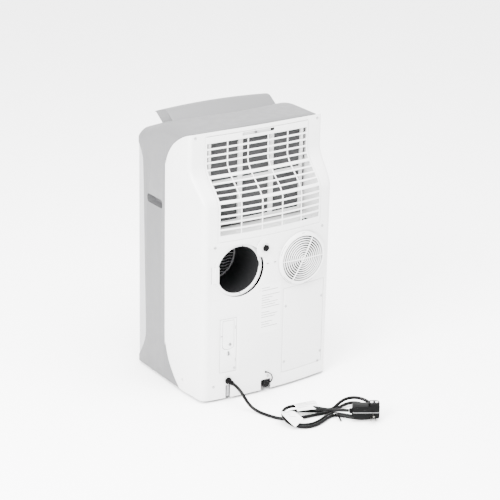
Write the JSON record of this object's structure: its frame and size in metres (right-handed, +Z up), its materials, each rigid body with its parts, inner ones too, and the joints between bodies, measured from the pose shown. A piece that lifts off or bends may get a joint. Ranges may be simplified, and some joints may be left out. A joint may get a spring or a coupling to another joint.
{
  "type": "portable air conditioner",
  "caption": "Upright portable room air conditioner on casters, with a flap hood over its top outlet, rear intake grille and filter, round exhaust and intake ports, drains and a tied power cord.",
  "frame": {"origin": "on the floor, under the middle of the machine", "axes": "+Z up, +Y out of the back with the grille and ports, -Y out of the front with the controls, +X to the left in a view from the back"},
  "size_m": [0.42, 0.6969, 0.756],
  "materials": {
    "rear_shell": "satin white moulding",
    "side_and_top_frame": "fine-grained grey moulding",
    "front_panel": "satin light grey moulding",
    "service_panel": "satin white moulding",
    "cord_cover": "satin white moulding",
    "cord_cover_flap": "satin white moulding",
    "rear_grille": "satin white moulding",
    "filter_frame": "white moulding",
    "filter_mesh": "fine woven net",
    "filter_bay": "white moulding",
    "exhaust_collar": "satin white moulding",
    "exhaust_guard": "light grey moulding",
    "exhaust_duct": "black moulding with a hexagon texture",
    "intake_vent_cover": "satin white moulding",
    "upper_drain_spout": "white moulding",
    "upper_drain_plug": "soft black rubber",
    "lower_drain_spout": "white moulding",
    "lower_drain_cap": "soft black rubber",
    "drain_cap_strap": "soft black rubber",
    "louvre_hood": "fine-grained grey moulding",
    "hood_bearing_left": "light grey moulding",
    "hood_bearing_right": "light grey moulding",
    "outlet_duct": "dark moulding",
    "deflector_vane_1": "grey moulding",
    "deflector_vane_2": "grey moulding",
    "deflector_vane_3": "grey moulding",
    "control_panel": "satin light grey moulding",
    "display_window": "smoked clear window",
    "control_board": "solder-masked board",
    "power_button": "grey key",
    "mode_button": "grey key",
    "fan_button": "grey key",
    "timer_button": "grey key",
    "base_tray": "black moulding",
    "upper_blower_scroll": "light grey moulding",
    "upper_blower_wheel": "grey moulding",
    "upper_blower_motor": "plated steel",
    "lower_blower_scroll": "light grey moulding",
    "lower_blower_wheel": "grey moulding",
    "lower_blower_motor": "plated steel",
    "evaporator_coil": "bare fins",
    "condenser_coil": "bare fins",
    "compressor": "black enamel",
    "discharge_pipe": "bare copper",
    "divider_deck": "light grey moulding",
    "strain_relief": "soft black rubber",
    "power_cord": "black cord jacket",
    "cord_hank": "black cord jacket",
    "cord_tail": "black cord jacket",
    "plug": "black moulding",
    "plug_reset_button": "light key",
    "plug_test_button": "light key",
    "caster_fork_front_left": "black moulding",
    "caster_wheel_front_left": "hard grey tread",
    "caster_fork_front_right": "black moulding",
    "caster_wheel_front_right": "hard grey tread",
    "caster_fork_rear_left": "black moulding",
    "caster_wheel_rear_left": "hard grey tread",
    "caster_fork_rear_right": "black moulding",
    "caster_wheel_rear_right": "hard grey tread"
  },
  "bodies": {
    "machine": {"rear_shell": "rear_shell", "side_and_top_frame": "side_and_top_frame", "front_panel": "front_panel", "service_panel": "service_panel", "cord_cover": "cord_cover", "filter_frame": "filter_frame", "filter_mesh": "filter_mesh", "filter_bay": "filter_bay", "exhaust_collar": "exhaust_collar", "exhaust_guard": "exhaust_guard", "exhaust_duct": "exhaust_duct", "upper_drain_spout": "upper_drain_spout", "lower_drain_spout": "lower_drain_spout", "drain_cap_strap": "drain_cap_strap", "hood_bearing_left": "hood_bearing_left", "hood_bearing_right": "hood_bearing_right", "outlet_duct": "outlet_duct", "control_panel": "control_panel", "display_window": "display_window", "control_board": "control_board", "base_tray": "base_tray", "upper_blower_scroll": "upper_blower_scroll", "upper_blower_motor": "upper_blower_motor", "lower_blower_scroll": "lower_blower_scroll", "lower_blower_motor": "lower_blower_motor", "evaporator_coil": "evaporator_coil", "condenser_coil": "condenser_coil", "compressor": "compressor", "discharge_pipe": "discharge_pipe", "divider_deck": "divider_deck", "strain_relief": "strain_relief", "power_cord": "power_cord", "cord_hank": "cord_hank", "cord_tail": "cord_tail", "plug": "plug"},
    "hood": {"louvre_hood": "louvre_hood"},
    "vane_1": {"deflector_vane_1": "deflector_vane_1"},
    "vane_2": {"deflector_vane_2": "deflector_vane_2"},
    "vane_3": {"deflector_vane_3": "deflector_vane_3"},
    "power_key": {"power_button": "power_button"},
    "mode_key": {"mode_button": "mode_button"},
    "fan_key": {"fan_button": "fan_button"},
    "timer_key": {"timer_button": "timer_button"},
    "grille_door": {"rear_grille": "rear_grille"},
    "vent_cover": {"intake_vent_cover": "intake_vent_cover"},
    "upper_plug": {"upper_drain_plug": "upper_drain_plug"},
    "lower_cap": {"lower_drain_cap": "lower_drain_cap"},
    "cord_flap": {"cord_cover_flap": "cord_cover_flap"},
    "upper_fan": {"upper_blower_wheel": "upper_blower_wheel"},
    "lower_fan": {"lower_blower_wheel": "lower_blower_wheel"},
    "rear_left_fork": {"caster_fork_rear_left": "caster_fork_rear_left"},
    "rear_left_wheel": {"caster_wheel_rear_left": "caster_wheel_rear_left"},
    "rear_right_fork": {"caster_fork_rear_right": "caster_fork_rear_right"},
    "rear_right_wheel": {"caster_wheel_rear_right": "caster_wheel_rear_right"},
    "front_left_fork": {"caster_fork_front_left": "caster_fork_front_left"},
    "front_left_wheel": {"caster_wheel_front_left": "caster_wheel_front_left"},
    "front_right_fork": {"caster_fork_front_right": "caster_fork_front_right"},
    "front_right_wheel": {"caster_wheel_front_right": "caster_wheel_front_right"},
    "reset_key": {"plug_reset_button": "plug_reset_button"},
    "test_key": {"plug_test_button": "plug_test_button"}
  },
  "joints": [
    {"name": "hood_tilt", "type": "hinge", "parent": "machine", "child": "hood", "pos_m": [0, -0.052, 0.712], "axis": [1, 0, 0], "range_deg": [-12, 25]},
    {"name": "vane_1_swing", "type": "hinge", "parent": "machine", "child": "vane_1", "pos_m": [-0.075, -0.099, 0.62], "axis": [0, 0, 1], "range_deg": [-30, 30]},
    {"name": "vane_2_swing", "type": "hinge", "parent": "machine", "child": "vane_2", "pos_m": [0, -0.099, 0.62], "axis": [0, 0, 1], "range_deg": [-30, 30]},
    {"name": "vane_3_swing", "type": "hinge", "parent": "machine", "child": "vane_3", "pos_m": [0.075, -0.099, 0.62], "axis": [0, 0, 1], "range_deg": [-30, 30]},
    {"name": "power_press", "type": "slide", "parent": "machine", "child": "power_key", "axis": [0, 1, 0], "range_m": [0, 0.001], "stiffness_N_per_m": 400},
    {"name": "mode_press", "type": "slide", "parent": "machine", "child": "mode_key", "axis": [0, 1, 0], "range_m": [0, 0.001], "stiffness_N_per_m": 400},
    {"name": "fan_press", "type": "slide", "parent": "machine", "child": "fan_key", "axis": [0, 1, 0], "range_m": [0, 0.001], "stiffness_N_per_m": 400},
    {"name": "timer_press", "type": "slide", "parent": "machine", "child": "timer_key", "axis": [0, 1, 0], "range_m": [0, 0.001], "stiffness_N_per_m": 400},
    {"name": "grille_open", "type": "hinge", "parent": "machine", "child": "grille_door", "pos_m": [0, 0.1829, 0.4575], "axis": [-1, 0, 0], "range_deg": [0, 60]},
    {"name": "vent_cover_turn", "type": "hinge", "parent": "machine", "child": "vent_cover", "pos_m": [-0.098, 0.1918, 0.37], "axis": [0, 1, 0], "range_deg": [0, 25]},
    {"name": "drain_plug_pull", "type": "slide", "parent": "machine", "child": "upper_plug", "axis": [0, 1, 0], "range_m": [0, 0.015]},
    {"name": "drain_cap_turn", "type": "hinge", "parent": "machine", "child": "lower_cap", "pos_m": [0.01, 0.18285, 0.026], "axis": [0, 1, 0], "range_deg": [0, 180]},
    {"name": "cord_flap_open", "type": "hinge", "parent": "machine", "child": "cord_flap", "pos_m": [0.129, 0.1772, 0.232], "axis": [1, 0, 0], "range_deg": [0, 90]},
    {"name": "upper_blower_spin", "type": "hinge", "parent": "machine", "child": "upper_fan", "pos_m": [0, -0.045, 0.5275], "axis": [0, 1, 0], "continuous": true},
    {"name": "lower_blower_spin", "type": "hinge", "parent": "machine", "child": "lower_fan", "pos_m": [0.098, -0.034, 0.33], "axis": [1, 0, 0], "continuous": true},
    {"name": "rear_left_swivel", "type": "hinge", "parent": "machine", "child": "rear_left_fork", "pos_m": [0.15, 0.11, 0.045], "axis": [0, 0, 1], "continuous": true},
    {"name": "rear_left_roll", "type": "hinge", "parent": "rear_left_fork", "child": "rear_left_wheel", "pos_m": [0.15, 0.1, 0.02], "axis": [1, 0, 0], "continuous": true},
    {"name": "rear_right_swivel", "type": "hinge", "parent": "machine", "child": "rear_right_fork", "pos_m": [-0.15, 0.11, 0.045], "axis": [0, 0, 1], "continuous": true},
    {"name": "rear_right_roll", "type": "hinge", "parent": "rear_right_fork", "child": "rear_right_wheel", "pos_m": [-0.15, 0.1, 0.02], "axis": [1, 0, 0], "continuous": true},
    {"name": "front_left_swivel", "type": "hinge", "parent": "machine", "child": "front_left_fork", "pos_m": [0.15, -0.11, 0.045], "axis": [0, 0, 1], "continuous": true},
    {"name": "front_left_roll", "type": "hinge", "parent": "front_left_fork", "child": "front_left_wheel", "pos_m": [0.15, -0.12, 0.02], "axis": [1, 0, 0], "continuous": true},
    {"name": "front_right_swivel", "type": "hinge", "parent": "machine", "child": "front_right_fork", "pos_m": [-0.15, -0.11, 0.045], "axis": [0, 0, 1], "continuous": true},
    {"name": "front_right_roll", "type": "hinge", "parent": "front_right_fork", "child": "front_right_wheel", "pos_m": [-0.15, -0.12, 0.02], "axis": [1, 0, 0], "continuous": true},
    {"name": "reset_press", "type": "slide", "parent": "machine", "child": "reset_key", "axis": [0, 0, -1], "range_m": [0, 0.001], "stiffness_N_per_m": 300},
    {"name": "test_press", "type": "slide", "parent": "machine", "child": "test_key", "axis": [0, 0, -1], "range_m": [0, 0.001], "stiffness_N_per_m": 300}
  ],
  "couplings": [
    {"joint": "vane_1_swing", "follows": "vane_2_swing", "ratio": 1},
    {"joint": "vane_3_swing", "follows": "vane_2_swing", "ratio": 1}
  ]
}
